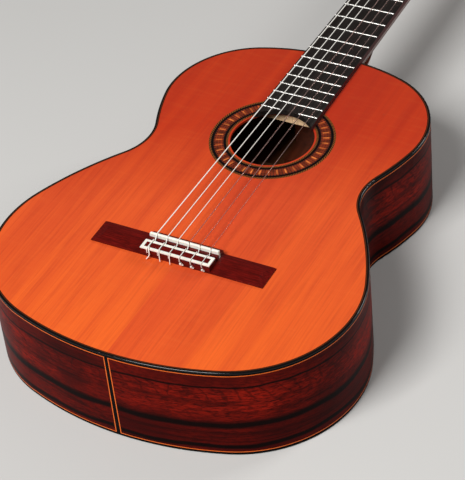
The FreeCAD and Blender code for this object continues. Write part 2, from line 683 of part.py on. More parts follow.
def bridge_parts():
    front = NUT_Y - BRIDGE_FRONT
    rear = front - BRIDGE_WIDTH
    middle = (front + rear) / 2
    wings = box(-BRIDGE_HALF, BRIDGE_HALF, rear, front, TOP, TOP + WING_HEIGHT)
    crown_z = TOP + WING_HEIGHT - WING_CROWN
    wings = wings.common(rod(WING_CROWN, (-200, middle, crown_z), (200, middle, crown_z)))
    wings = wings.cut([wing_ramp(-1), wing_ramp(1)])
    width, height = SADDLE_BLOCK
    saddle_block = box(-BLOCK_HALF, BLOCK_HALF, front - width, front, TOP, TOP + height)
    ridge = [edge for edge in saddle_block.Edges if edge.BoundBox.ZMin > TOP + height - 0.1
             and edge.BoundBox.YMin > front - 0.1]
    saddle_block = saddle_block.makeFillet(SADDLE_BLOCK_ROUND, ridge)
    tie_block = box(-BLOCK_HALF, BLOCK_HALF, rear, rear + TIE_BLOCK_WIDTH, TOP, TOP + TIE_BLOCK_HEIGHT)
    wood = join([wings, saddle_block, tie_block])
    tie_front = rear + TIE_BLOCK_WIDTH
    wood = wood.cut(box(-BLOCK_HALF, BLOCK_HALF, tie_front, front - width, TOP + CHANNEL_FLOOR, TOP + 30))
    slot_y = NUT_Y - SADDLE_LINE
    half_thick = SADDLE_THICKNESS / 2
    slot = box(-BLOCK_HALF, BLOCK_HALF, slot_y - half_thick, slot_y + half_thick,
               TOP + SADDLE_SLOT_DEPTH, TOP + 30)
    inlay_outer = box(-BLOCK_HALF, BLOCK_HALF, rear, tie_front,
                      TOP + TIE_BLOCK_HEIGHT - INLAY_THICKNESS, TOP + TIE_BLOCK_HEIGHT)
    edge = INLAY_BORDER
    island = box(-BLOCK_HALF + edge, BLOCK_HALF - edge, rear + edge, tie_front - edge,
                 TOP, TOP + TIE_BLOCK_HEIGHT + 1)
    inlay = inlay_outer.cut(island)
    holes = [rod(TIE_HOLE_RADIUS, (string_x(n, SPREAD_SADDLE), rear - 5, TOP + TIE_HOLE_HEIGHT),
                 (string_x(n, SPREAD_SADDLE), tie_front + 4, TOP + TIE_HOLE_HEIGHT))
             for n in STRING_DIAMETERS]
    passages = [string_bar(n, STRING_CLEAR) for n in STRING_DIAMETERS]
    wood = wood.cut([slot, inlay] + holes + passages)
    blade = box(-BLOCK_HALF, BLOCK_HALF, slot_y - half_thick, slot_y + half_thick,
                TOP + SADDLE_SLOT_DEPTH, TOP + SADDLE_HEIGHT)
    crest = [edge for edge in blade.Edges if edge.BoundBox.ZMin > TOP + SADDLE_HEIGHT - 0.1]
    saddle = blade.makeFillet(SADDLE_ROUND, crest).cut(passages)
    return {"bridge": wood, "saddle": saddle, "tie_block_inlay": inlay}


# ---- tuning machines ----

def roller():
    """String post in the head's frame at X > 0, for a machine at 0 along the head."""
    drop = -ROLLER_DROP
    step = MACHINE_X - GEAR_THICKNESS / 2 - POST_STEP
    core = rod(SHAFT_RADIUS, (POST_START, 0, drop), (step, 0, drop))
    end = rod(POST_END_RADIUS, (step, 0, drop), (MACHINE_X + GEAR_THICKNESS / 2, 0, drop))
    sleeve = rod(ROLLER_RADIUS, (SLOT_INNER + SLEEVE_PLAY, 0, drop), (SLOT_OUTER - SLEEVE_PLAY, 0, drop))
    return join([core, sleeve, end])


def gear():
    drop = -ROLLER_DROP
    x0, x1 = MACHINE_X - GEAR_THICKNESS / 2, MACHINE_X + GEAR_THICKNESS / 2
    disc = rod(GEAR_ROOT, (x0, 0, drop), (x1, 0, drop))
    hub = rod(HUB_RADIUS, (PLATE_FACE + EAR_PLAY, 0, drop), (x0, 0, drop))
    teeth = []
    for i in range(GEAR_TEETH):
        corners = [(GEAR_ROOT - 0.4, -TOOTH_ROOT_HALF), (GEAR_TIP, -TOOTH_TIP_HALF),
                   (GEAR_TIP, TOOTH_TIP_HALF), (GEAR_ROOT - 0.4, TOOTH_ROOT_HALF)]
        points = [Vec(x0, -r, w) for r, w in corners]
        tooth = Part.Face(Part.makePolygon(points + points[:1])).extrude(Vec(x1 - x0, 0, 0))
        tooth.rotate(Vec(0, 0, 0), Vec(1, 0, 0), 360 * i / GEAR_TEETH)
        tooth.translate(Vec(0, 0, drop))
        teeth.append(tooth)
    wheel = join([disc, hub] + teeth)
    bore = [rod(POST_END_RADIUS, (x0 - POST_STEP, 0, drop), (x1 + 1, 0, drop)),
            rod(SHAFT_RADIUS, (PLATE_FACE, 0, drop), (x0 - POST_STEP, 0, drop))]
    return wheel.cut(bore)


def worm():
    """Worm and its shaft, standing on their own axis, with the thread half way between gear teeth."""
    middle = -ROLLER_DROP
    low = middle - WORM_LENGTH / 2
    start = middle + WORM_PITCH / 4 - 3 * WORM_PITCH
    helix = Part.makeHelix(WORM_PITCH, 6 * WORM_PITCH, WORM_ROOT)
    root, tip = WORM_THREAD_HALF
    corners = [Vec(WORM_ROOT - 0.3, 0, -root), Vec(WORM_TIP, 0, -tip), Vec(WORM_TIP, 0, tip),
               Vec(WORM_ROOT - 0.3, 0, root)]
    sweep = Part.BRepOffsetAPI.MakePipeShell(Part.Wire(helix.Edges))
    sweep.setFrenetMode(True)
    sweep.add(Part.makePolygon(corners + corners[:1]))
    sweep.build()
    sweep.makeSolid()
    thread = sweep.shape()
    thread.translate(Vec(0, 0, start))
    thread = thread.common(Part.makeCylinder(WORM_TIP + 1, WORM_LENGTH, Vec(0, 0, low)))
    high = low + WORM_LENGTH
    core = Part.makeCylinder(WORM_ROOT, WORM_LENGTH, Vec(0, 0, low))
    bottom = button_top() - PIN_IN_BUTTON
    shaft = Part.makeCylinder(PIN_RADIUS, high + EAR + PIN_RADIUS - bottom, Vec(0, 0, bottom))
    collar = Part.makeCylinder(COLLAR_RADIUS, COLLAR_HEIGHT, Vec(0, 0, low - EAR - PIN_RADIUS))
    return join([core, thread, shaft, collar])


def button_top():
    return -ROLLER_DROP - WORM_LENGTH / 2 - EAR - 4.4


def button():
    """An oval button, narrow at its neck, on the end of the worm shaft."""
    top = button_top()
    sections = []
    for down, wide, thick in BUTTON_ROWS:
        points = [Vec(thick * math.cos(t), wide * math.sin(t), top - down)
                  for t in [2 * math.pi * i / 24 for i in range(24)]]
        curve = Part.BSplineCurve()
        curve.interpolate(points, PeriodicFlag=True)
        sections.append(Part.Wire(curve.toShape()))
    body = Part.makeLoft(sections, True)
    return body.cut(Part.makeCylinder(PIN_RADIUS, 20, Vec(0, 0, top - PIN_IN_BUTTON)))


def tuner_plate():
    """Side plate of three machines at X > 0, with two ears for each worm shaft."""
    drop = -ROLLER_DROP
    half = PLATE_HEIGHT / 2
    plate = box(HEAD_HALF, PLATE_FACE, MACHINE_SPOTS[0] - PLATE_BEFORE, MACHINE_SPOTS[-1] + PLATE_AFTER,
                drop - half, drop + half)
    ears = []
    bores = []
    reach = WORM_LENGTH / 2 + EAR_PLAY
    for along in MACHINE_SPOTS:
        y = along - CENTRE_DISTANCE
        for z0 in (drop + reach, drop - reach - EAR):
            ears.append(box(PLATE_FACE - 0.2, MACHINE_X + COLLAR_RADIUS, y - EAR_HALF, y + EAR_HALF, z0, z0 + EAR))
        bores.append(rod(PIN_RADIUS + RUNNING, (MACHINE_X, y, drop - 12), (MACHINE_X, y, drop + 12)))
        bores.append(rod(SHAFT_RADIUS + RUNNING, (HEAD_HALF - 5, along, drop), (PLATE_FACE + 0.1, along, drop)))
    for along in SCREW_SPOTS:
        bores.append(rod(SCREW_SHANK, (HEAD_HALF - 5, along, drop), (PLATE_FACE + 1, along, drop)))
    return join([plate] + ears).cut(bores)


def plate_screw(along):
    drop = -ROLLER_DROP
    shank = rod(SCREW_SHANK, (HEAD_HALF - SCREW_DEPTH, along, drop), (PLATE_FACE, along, drop))
    dome = Part.makeSphere(SCREW_DOME, Vec(PLATE_FACE - SCREW_DOME_SUNK, along, drop))
    cap = dome.common(box(PLATE_FACE, PLATE_FACE + 5, along - 9, along + 9, drop - 9, drop + 9))
    return shank.fuse(cap).removeSplitter()


def mirrored(shape):
    return shape.mirror(Vec(0, 0, 0), Vec(1, 0, 0))


def machines():
    parts = {}
    plate = tuner_plate()
    screws = [plate_screw(along) for along in SCREW_SPOTS]
    parts["tuner_plates"] = group([on_head(plate), on_head(mirrored(plate))])
    parts["tuner_screws"] = group([on_head(s) for s in screws] + [on_head(mirrored(s)) for s in screws])
    post, wheel, screw, knob = roller(), gear(), worm(), button()
    for number in STRING_DIAMETERS:
        side, along, _ = roller_spot(number)
        for name, shape in (("roller", post), ("gear", wheel)):
            shape = shape.copy() if side > 0 else mirrored(shape)
            shape.translate(Vec(0, along, 0))
            parts[f"{name}_{number}"] = on_head(shape)
        for name, shape in (("worm", screw), ("button", knob)):
            shape = shape.copy()
            shape.translate(Vec(side * MACHINE_X, along - CENTRE_DISTANCE, 0))
            parts[f"{name}_{number}"] = on_head(shape)
    return parts


def build():
    parts = {}
    top_binding, back_binding, light_lines, dark_line = edge_trim()
    graft, graft_lines, graft_space = tail_graft()
    parts["top_binding"] = top_binding
    parts["back_binding"] = back_binding
    lines = [line.cut(graft) for line in light_lines] + [graft_lines]
    parts["light_purfling"] = group(lines)
    parts["dark_purfling"] = dark_line
    parts["tail_graft"] = graft
    parts["linings"] = linings()
    parts["tail_block"] = tail_block()
    parts["neck"] = neck()
    parts["heel_cap"] = heel_cap()
    parts["nut"] = nut()
    for made in (soundboard(), rosette(), ribs(graft_space), back_plate(), top_bracing(), head(),
                 fingerboard(), strings(), bridge_parts(), machines()):
        parts.update(made)
    return parts


os.makedirs("parts", exist_ok=True)
for name, shape in build().items():
    shape.exportStep(f"parts/{name}.step")
    print(name, shape.ShapeType, len(shape.Solids), shape.isValid(), round(shape.Volume, 1))
print("nut", round(NUT_Y, 3), "tail", round(TAIL_Y, 3), "body end", round(BODY_Y, 3), "overall", round(OVERALL, 2))
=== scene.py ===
import math

import bmesh
import bpy
from bpy.props import FloatProperty, FloatVectorProperty, IntProperty, PointerProperty
from mathutils import Matrix, Vector


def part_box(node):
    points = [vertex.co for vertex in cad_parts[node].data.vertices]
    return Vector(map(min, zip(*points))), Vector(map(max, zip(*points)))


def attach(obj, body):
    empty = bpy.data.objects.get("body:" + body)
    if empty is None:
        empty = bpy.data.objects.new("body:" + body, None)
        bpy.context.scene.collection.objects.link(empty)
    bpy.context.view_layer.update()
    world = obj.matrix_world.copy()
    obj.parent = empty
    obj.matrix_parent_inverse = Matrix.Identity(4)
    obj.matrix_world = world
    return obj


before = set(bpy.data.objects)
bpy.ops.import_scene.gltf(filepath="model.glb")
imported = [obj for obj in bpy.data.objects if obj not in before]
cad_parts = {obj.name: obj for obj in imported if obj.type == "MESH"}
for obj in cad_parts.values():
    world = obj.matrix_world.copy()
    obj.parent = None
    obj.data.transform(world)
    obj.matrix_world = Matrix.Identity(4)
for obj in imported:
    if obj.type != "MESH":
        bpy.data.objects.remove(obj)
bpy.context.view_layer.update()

bl_info = {
    "name": "Classical guitar",
    "version": (1, 0, 0),
    "blender": (4, 5, 0),
    "location": "View3D > Sidebar > Guitar",
    "description": "Finishes and fine pieces for a classical guitar around its CAD frame",
    "category": "Object",
}

# ---- places taken from the frame, in metres ----

MM = 0.001
HOLE_LOW, HOLE_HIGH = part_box("rosette_mosaic")
HOLE_X = (HOLE_LOW[0] + HOLE_HIGH[0]) / 2
HOLE_Y = (HOLE_LOW[1] + HOLE_HIGH[1]) / 2
MOSAIC_OUTER = (HOLE_HIGH[0] - HOLE_LOW[0]) / 2
MOSAIC_WIDTH = 10.6 * MM
BAND_EDGE = 7.6 * MM                # the checked bands are black up to here from the mosaic's middle
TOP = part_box("soundboard_bass")[1][2]
BINDING_EDGE = 1.2 * MM             # height of the top binding's polished edge
BACK_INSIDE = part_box("back_bass")[1][2] - 0.1 * MM
TAIL_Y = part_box("back_binding")[0][1]
BODY_LENGTH = 480 * MM
NUT_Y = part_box("nut")[0][1]
NUT_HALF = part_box("nut")[1][0]
BOARD_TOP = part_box("fingerboard")[1][2]
BODY_FRET = 325 * MM                # from the nut to the twelfth fret
BODY_HALF = 30.1 * MM               # half width of the fingerboard there
TIE_REAR, TIE_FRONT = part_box("tie_block_inlay")[0][1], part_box("tie_block_inlay")[1][1]
TIE_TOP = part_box("tie_block_inlay")[1][2]
SADDLE_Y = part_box("saddle")[0][1]
TIE_HOLE = TOP + 5.0 * MM           # height of the six holes through the tie block
SADDLE_PITCH = 11.4 * MM            # between strings at the saddle
STRING_NUMBERS = (6, 5, 4, 3, 2, 1)
BASS_STRINGS = (6, 5, 4)
STRING_DIAMETER = {6: 1.12 * MM, 5: 0.90 * MM, 4: 0.75 * MM, 3: 1.02 * MM, 2: 0.82 * MM, 1: 0.71 * MM}
POST_SPOT = {6: -17.6, 5: -14.6, 4: -11.2, 3: 11.2, 2: 14.6, 1: 17.6}    # where each string meets its post
WIND_WAY = {6: 1, 5: -1, 4: -1, 3: 1, 2: 1, 1: -1}                       # which way along the post it winds
TURN_GAP = 0.03 * MM                # between neighbouring turns on a post
FIRST_TURN_GAP = 0.15 * MM          # between the straight string and its first turn
WINDING_END = 0.3                   # angle below the head's forward direction where the turns end
HITCH_TURNS, BEAD_TURNS = 1.6, 1.7  # of string in front of the tie block, and of the trebles' beads behind it
END_TAPER = 0.95                    # radius of a loose end against the string's own
GEAR_SCREW = (3.1 * MM, 1.5 * MM, 0.7 * MM)                              # radius, height, width of the slot
HEAD_TILT = math.radians(15)
HEAD_FORWARD = Vector((0, math.cos(HEAD_TILT), -math.sin(HEAD_TILT)))
HEAD_UP = Vector((0, math.sin(HEAD_TILT), math.cos(HEAD_TILT)))


# ---- the stage, in metres ----

EYE = Vector((0.7676, NUT_Y - 1.8151, TOP + 1.1975))
AIM = Vector((0.0339, NUT_Y - 0.6232, TOP))
ROLL = math.radians(-6.41)
FLOOR_HALF = 6
FLOOR_GAP = 0.4 * MM                # keeps the floor from touching the back
WORLD_TONE, WORLD_STRENGTH = (1, 0.98, 0.96, 1), 0.10
LIGHTS_AIM = Vector((0, -0.2, 0.1))
LIGHTS = {                          # place, share of the main light's power, width
    "key_light": ((-0.4, -2.1, 2.3), 1.0, 1.2),
    "rim_light": ((1.5, 1.8, 1.5), 0.30, 0.9),
}


# ---- what a user may change ----

def colour(name, description, value):
    return FloatVectorProperty(name=name, description=description, subtype="COLOR", size=3,
                               min=0, max=1, default=value)


class SoundboardSettings(bpy.types.PropertyGroup):
    # The cedar tones hold painted light: brightest at the tail, and in painted shade towards the neck.
    tail_tone: colour("Tail tone", "Cedar colour at the tail", (0.86, 0.130, 0.016))
    bridge_tone: colour("Bridge tone", "Cedar colour in front of the bridge", (0.78, 0.101, 0.019))
    shaded_neck_tone: colour("Neck tone", "Cedar colour towards the neck", (0.56, 0.039, 0.007))
    grain_tone: colour("Grain tone", "Colour of the late growth lines", (0.42, 0.032, 0.010))
    grain_spacing: FloatProperty(name="Grain spacing", description="Mean distance between growth lines",
                                 default=1.3 * MM, min=0.4 * MM, max=4 * MM, unit="LENGTH")


class RosetteSettings(bpy.types.PropertyGroup):
    tile_count: IntProperty(name="Tiles", description="Light tiles around the mosaic ring", default=40)
    ground_tone: colour("Ground tone", "Colour of the mosaic's ground", (0.13, 0.016, 0.004))
    tile_tone: colour("Tile tone", "Colour of the light tiles", (0.95, 0.27, 0.055))
    band_tone: colour("Band tone", "Light colour of the checked bands", (0.50, 0.15, 0.02))


class BodySettings(bpy.types.PropertyGroup):
    rosewood_tone: colour("Rosewood tone", "Reddish ground colour of the ribs and back",
                          (0.044, 0.0013, 0.0008))
    patch_tone: colour("Patch tone", "Colour of the bright red patches in the ribs", (0.30, 0.010, 0.003))
    rosewood_lines: colour("Rosewood lines", "Colour of the dark grain lines", (0.0025, 0.0006, 0.0005))
    line_tone: colour("Purfling tone", "Colour of the light lines", (1.0, 0.15, 0.012))
    binding_tone: colour("Binding tone", "Colour of the black bindings", (0.003, 0.0025, 0.0025))


class NeckSettings(bpy.types.PropertyGroup):
    wood_tone: colour("Neck tone", "Colour of the neck's wood", (0.16, 0.035, 0.014))
    ebony_tone: colour("Ebony tone", "Colour of the fingerboard", (0.012, 0.009, 0.008))
    board_side_tone: colour("Board side tone", "Colour of the fingerboard's stained edges",
                            (0.060, 0.004, 0.003))
    fret_tone: colour("Fret tone", "Colour of the fret wire", (0.80, 0.78, 0.74))
    bone_tone: colour("Bone tone", "Colour of the nut, saddle and tie block frame", (0.95, 0.92, 0.82))


class StringSettings(bpy.types.PropertyGroup):
    wire_tone: colour("Wire tone", "Colour of the winding on the bass strings", (1.0, 0.96, 0.88))
    nylon_tone: colour("Nylon tone", "Colour of the treble strings", (0.74, 0.52, 0.47))
    turns: IntProperty(name="Turns", description="Turns of each string on its post", default=4, min=1, max=8)


class TunerSettings(bpy.types.PropertyGroup):
    plate_tone: colour("Plate tone", "Colour of the side plates", (0.80, 0.62, 0.30))
    gear_tone: colour("Gear tone", "Colour of the gears", (0.74, 0.54, 0.24))
    button_tone: colour("Button tone", "Colour of the buttons", (0.86, 0.82, 0.72))


class StageSettings(bpy.types.PropertyGroup):
    lens: FloatProperty(name="Lens", description="Focal length of the camera", default=148.41, min=10)
    floor_tone: colour("Floor tone", "Colour of the floor", (0.62, 0.61, 0.59))
    key_power: FloatProperty(name="Key light", description="Power of the main light", default=95,
                             unit="POWER")


SETTINGS = {
    "guitar_soundboard": SoundboardSettings,
    "guitar_rosette": RosetteSettings,
    "guitar_body": BodySettings,
    "guitar_neck": NeckSettings,
    "guitar_strings": StringSettings,
    "guitar_tuners": TunerSettings,
    "guitar_stage": StageSettings,
}


# ---- finishes ----

def shade(tone, factor):
    """A lighter or darker shade of a colour."""
    return tuple(min(1, part * factor) for part in tone)


class Finish:
    """A procedural material, built up node by node on a Principled shader."""

    def __init__(self, name, **sockets):
        self.material = bpy.data.materials.new(name)
        self.material.use_nodes = True
        self.nodes = self.material.node_tree.nodes
        self.links = self.material.node_tree.links
        self.shader = self.nodes["Principled BSDF"]
        for socket, value in sockets.items():
            self.shader.inputs[socket.replace("_", " ").title().replace("Ior", "IOR")].default_value = value

    def put(self, socket, value):
        """Links an output to a socket, or sets the socket to a plain value."""
        if isinstance(value, bpy.types.NodeSocket):
            self.links.new(value, socket)
        elif hasattr(value, "__len__"):
            socket.default_value = (*value[:3], 1)[:len(socket.default_value)]
        else:
            socket.default_value = value

    def place(self, scale=(1, 1, 1), turn=(0, 0, 0), shift=(0, 0, 0)):
        """The piece's own coordinates, shifted, then turned and stretched."""
        where = self.nodes.new("ShaderNodeTexCoord").outputs["Object"]
        moved = self.nodes.new("ShaderNodeMapping")
        moved.inputs["Location"].default_value = shift
        self.links.new(where, moved.inputs["Vector"])
        stretched = self.nodes.new("ShaderNodeMapping")
        stretched.inputs["Rotation"].default_value = turn
        stretched.inputs["Scale"].default_value = scale
        self.links.new(moved.outputs["Vector"], stretched.inputs["Vector"])
        return stretched.outputs["Vector"]

    def noise(self, vector, scale=1.0, detail=3.0, roughness=0.5, distortion=0.0):
        node = self.nodes.new("ShaderNodeTexNoise")
        self.links.new(vector, node.inputs["Vector"])
        for socket, value in (("Scale", scale), ("Detail", detail), ("Roughness", roughness),
                              ("Distortion", distortion)):
            node.inputs[socket].default_value = value
        return node.outputs["Fac"]

    def waves(self, vector, scale, distortion, detail=2.0, detail_scale=1.0, direction="X"):
        node = self.nodes.new("ShaderNodeTexWave")
        node.bands_direction = direction
        self.links.new(vector, node.inputs["Vector"])
        for socket, value in (("Scale", scale), ("Distortion", distortion), ("Detail", detail),
                              ("Detail Scale", detail_scale)):
            node.inputs[socket].default_value = value
        return node.outputs["Fac"]

    def ramp(self, factor, *stops):
        node = self.nodes.new("ShaderNodeValToRGB")
        self.links.new(factor, node.inputs["Fac"])
        elements = node.color_ramp.elements
        while len(elements) < len(stops):
            elements.new(0.5)
        for element, (at, value) in zip(elements, stops):
            element.position = at
            element.color = (value, value, value, 1) if isinstance(value, (int, float)) else (*value[:3], 1)
        return node.outputs["Color"]

    def mix(self, factor, first, second, blend="MIX"):
        node = self.nodes.new("ShaderNodeMix")
        node.data_type = "RGBA"
        node.blend_type = blend
        self.put(node.inputs["Factor"], factor)
        self.put(node.inputs[6], first)
        self.put(node.inputs[7], second)
        return node.outputs[2]

    def math(self, operation, *values, clamp=False):
        node = self.nodes.new("ShaderNodeMath")
        node.operation = operation
        node.use_clamp = clamp
        for socket, value in zip(node.inputs, values):
            self.put(socket, value)
        return node.outputs[0]

    def split(self, vector):
        node = self.nodes.new("ShaderNodeSeparateXYZ")
        self.links.new(vector, node.inputs[0])
        return node.outputs

    def bump(self, height, strength, distance=0.1 * MM):
        node = self.nodes.new("ShaderNodeBump")
        node.inputs["Strength"].default_value = strength
        node.inputs["Distance"].default_value = distance
        self.links.new(height, node.inputs["Height"])
        self.links.new(node.outputs["Normal"], self.shader.inputs["Normal"])

    def colour(self, value):
        self.put(self.shader.inputs["Base Color"], value)

    def roughness(self, factor, low, high):
        node = self.nodes.new("ShaderNodeMapRange")
        self.links.new(factor, node.inputs["Value"])
        node.inputs["To Min"].default_value = low
        node.inputs["To Max"].default_value = high
        self.links.new(node.outputs["Result"], self.shader.inputs["Roughness"])


def cedar(name, settings, offset, seam):
    """Straight-grained cedar under gloss varnish, made redder and darker towards the neck by painted shade
    where the light falls off.
    """
    finish = Finish(name, roughness=0.5, specular_ior_level=0.3, coat_weight=0.22, coat_roughness=0.05,
                    coat_ior=1.45)
    across, along, _ = finish.split(finish.place())
    # Drift runs from the tail to the neck, slanted across the width and swayed by a random cloud; its run
    # towards the neck is painted shade.
    drift = finish.math("DIVIDE", finish.math("SUBTRACT", along, TAIL_Y), BODY_LENGTH)
    drift = finish.math("SUBTRACT", drift, finish.math("MULTIPLY", across, 0.55))
    cloud = finish.noise(finish.place((9, 7, 1), shift=(offset, 0, 0)), 1.0, 3.0)
    sway = finish.math("MULTIPLY", finish.math("SUBTRACT", cloud, 0.5), 0.22)
    drift = finish.math("ADD", drift, sway, clamp=True)
    ground = finish.ramp(drift, (0.0, settings.tail_tone), (0.44, settings.bridge_tone),
                         (0.72, settings.shaded_neck_tone), (1.0, shade(settings.shaded_neck_tone, 0.94)))
    plank = finish.ramp(finish.math("DIVIDE", across, 100 * MM), (0.30, seam), (0.90, 0.0))
    ground = finish.mix(plank, ground, (0.90, 0.76, 1.0), "MULTIPLY")
    fine = finish.noise(finish.place((1 / settings.grain_spacing, 9, 0), shift=(offset, 0, 0)), 1.0, 2.0, 0.6)
    lines = finish.ramp(fine, (0.44, 0.0), (0.66, 1.0))
    dashes = finish.noise(finish.place((0.45 / settings.grain_spacing, 15, 0), shift=(offset + 0.6, 0, 0)),
                          1.0, 3.0)
    wide = finish.noise(finish.place((60, 1.2, 0), shift=(offset + 0.2, 0, 0)), 1.0, 2.0)
    body = finish.mix(finish.math("MULTIPLY", lines, 0.15), ground, settings.grain_tone)
    body = finish.mix(finish.math("MULTIPLY", finish.ramp(dashes, (0.48, 0.0), (0.70, 1.0)), 0.26), body,
                      settings.grain_tone)
    body = finish.mix(finish.math("MULTIPLY", finish.ramp(wide, (0.40, 0.0), (0.66, 1.0)), 0.65), body,
                      (0.82, 0.66, 0.85), "MULTIPLY")
    silk = finish.noise(finish.place((34, 240, 1), shift=(offset, 0, 0)), 1.0, 2.0)
    body = finish.mix(finish.math("MULTIPLY", finish.ramp(silk, (0.50, 0.0), (0.80, 1.0)), 0.05),
                      body, (1.0, 0.24, 0.05))
    finish.colour(body)
    finish.roughness(fine, 0.42, 0.56)
    finish.bump(fine, 0.08, 0.05 * MM)
    return finish.material


def rib(name, settings, offset):
    """Dark red rosewood of the ribs: black lines along them, with finely rippled red between."""
    finish = Finish(name, roughness=0.4, specular_ior_level=0.02, coat_weight=0.035, coat_roughness=0.05)
    z = finish.split(finish.place())[2]
    sway = finish.noise(finish.place((7, 7, 9), shift=(offset, 0, 0)), 1.0, 3.0, 0.6)
    level = finish.math("DIVIDE", z, TOP)
    level = finish.math("ADD", level, finish.math("MULTIPLY", finish.math("SUBTRACT", sway, 0.5), 0.14))
    lines = finish.ramp(level, (0.075, 0.0), (0.095, 1.0), (0.125, 1.0), (0.140, 0.0), (0.325, 0.0),
                        (0.345, 1.0), (0.385, 1.0), (0.43, 0.0), (0.60, 0.0), (0.606, 0.5), (0.615, 0.0),
                        (0.815, 0.0), (0.824, 1.0), (0.834, 1.0), (0.845, 0.0))
    patch = finish.noise(finish.place((11, 11, 14), shift=(offset + 0.3, 0, 0)), 1.0, 3.0)
    # The belt dims the bright red patches towards the bottom of the rib and near its top edge; the darker
    # bottom is painted shade.
    shade_belt = finish.ramp(level, (0.12, 0.30), (0.40, 0.35), (0.52, 1.0), (0.76, 1.0), (0.84, 0.45))
    ripple = finish.noise(finish.place((150, 150, 620), turn=(0.10, 0.10, 0), shift=(offset, 0, 0)),
                          1.0, 2.0, 0.6, 0.4)
    glow = finish.math("MULTIPLY", finish.ramp(patch, (0.34, 0.10), (0.60, 1.0)), shade_belt)
    glow = finish.math("MULTIPLY", glow, finish.ramp(ripple, (0.34, 0.12), (0.62, 1.0)))
    body = finish.mix(glow, settings.rosewood_tone, settings.patch_tone)
    scallops = finish.waves(finish.place((1, 1, 0.8), shift=(offset, 0, 0)), 34.0, 7.0, 2.0, 1.6, "DIAGONAL")
    scallops = finish.math("MULTIPLY", finish.ramp(scallops, (0.03, 1.0), (0.16, 0.0)),
                           finish.ramp(level, (0.60, 0.0), (0.70, 0.45), (0.81, 0.45), (0.84, 0.0)))
    figure = finish.noise(finish.place((5, 5, 110), shift=(offset, 0, 0)), 1.0, 4.0, 0.65, 0.8)
    figure = finish.math("MULTIPLY", finish.ramp(figure, (0.48, 0.0), (0.62, 1.0)), 0.55)
    body = finish.mix(finish.math("MAXIMUM", figure, scallops), body, settings.rosewood_lines)
    body = finish.mix(finish.math("MULTIPLY", lines, 0.97), body, settings.rosewood_lines)
    finish.colour(body)
    finish.roughness(ripple, 0.32, 0.5)
    finish.bump(ripple, 0.06, 0.05 * MM)
    return finish.material


def rosewood(name, settings, scale, offset=0.0, gloss=1.0, inside=None, streaks=0.8, strength=1.0):
    """Dark red-brown rosewood with wavering black lines. Scale stretches the figure along each axis.
    Inside is the height above which the wood is the bare, paler inner face. Strength deepens the ground."""
    finish = Finish(name, roughness=0.35, specular_ior_level=0.12, coat_weight=gloss, coat_roughness=0.06)
    figure = finish.noise(finish.place(scale, shift=(offset, 0, 0)), 1.0, 5.0, 0.62, 1.2)
    lines = finish.ramp(figure, (0.40, 0.0), (0.47, 0.7), (0.50, 1.0), (0.54, 0.0), (0.62, 0.0), (0.66, 0.6),
                        (0.70, 0.0))
    pores = finish.noise(finish.place(tuple(s * 9 for s in scale), shift=(offset, 0, 0)), 1.0, 2.0, 0.7)
    tone = shade(settings.rosewood_tone, strength)
    ground = finish.mix(finish.ramp(pores, (0.42, 0.0), (0.66, 1.0)), tone, shade(tone, 1.9))
    body = finish.mix(finish.math("MULTIPLY", lines, streaks), ground, settings.rosewood_lines)
    if inside is not None:
        bare = finish.math("GREATER_THAN", finish.split(finish.place())[2], inside)
        body = finish.mix(bare, body, (0.20, 0.070, 0.030))
    finish.colour(body)
    finish.roughness(pores, 0.25, 0.5)
    finish.bump(pores, 0.08, 0.05 * MM)
    return finish.material


def spruce(name, tone):
    finish = Finish(name, roughness=0.6)
    grain = finish.noise(finish.place((500, 500, 6)), 1.0, 2.0)
    body = finish.mix(finish.ramp(grain, (0.4, 0.0), (0.65, 1.0)), tone, shade(tone, 0.72))
    finish.colour(body)
    finish.roughness(grain, 0.5, 0.75)
    finish.bump(grain, 0.3)
    return finish.material


def neck_wood(settings):
    finish = Finish("neck_wood", roughness=0.35, coat_weight=0.5, coat_roughness=0.15)
    grain = finish.noise(finish.place((180, 5, 180)), 1.0, 3.0, 0.6, 0.5)
    pores = finish.noise(finish.place((1400, 60, 1400)), 1.0, 2.0)
    body = finish.mix(finish.ramp(grain, (0.35, 0.0), (0.7, 1.0)), settings.wood_tone,
                      shade(settings.wood_tone, 0.55))
    body = finish.mix(finish.math("MULTIPLY", finish.ramp(pores, (0.56, 0.0), (0.66, 1.0)), 0.6), body,
                      (0.03, 0.008, 0.004))
    finish.colour(body)
    finish.roughness(pores, 0.3, 0.5)
    finish.bump(pores, 0.15)
    return finish.material


def ebony(settings):
    finish = Finish("ebony", roughness=0.5, specular_ior_level=0.16)
    grain = finish.noise(finish.place((700, 12, 700)), 1.0, 3.0, 0.6)
    streak = finish.noise(finish.place((90, 2, 90), shift=(0.4, 0, 0)), 1.0, 2.0)
    body = finish.mix(finish.ramp(grain, (0.4, 0.0), (0.7, 1.0)), settings.ebony_tone, (0.026, 0.021, 0.019))
    body = finish.mix(finish.math("MULTIPLY", finish.ramp(streak, (0.5, 0.0), (0.75, 1.0)), 0.5), body,
                      (0.036, 0.023, 0.017))
    across, along, up = finish.split(finish.place())
    low = finish.math("LESS_THAN", up, BOARD_TOP - 0.1 * MM)
    flare = (BODY_HALF - NUT_HALF) / BODY_FRET
    half = finish.math("MULTIPLY_ADD", along, -flare, NUT_HALF + NUT_Y * flare - 0.3 * MM)
    side = finish.math("GREATER_THAN", finish.math("ABSOLUTE", across), half)
    body = finish.mix(finish.math("MULTIPLY", low, side), body, settings.board_side_tone)
    finish.colour(body)
    finish.roughness(grain, 0.42, 0.6)
    finish.bump(grain, 0.2)
    return finish.material


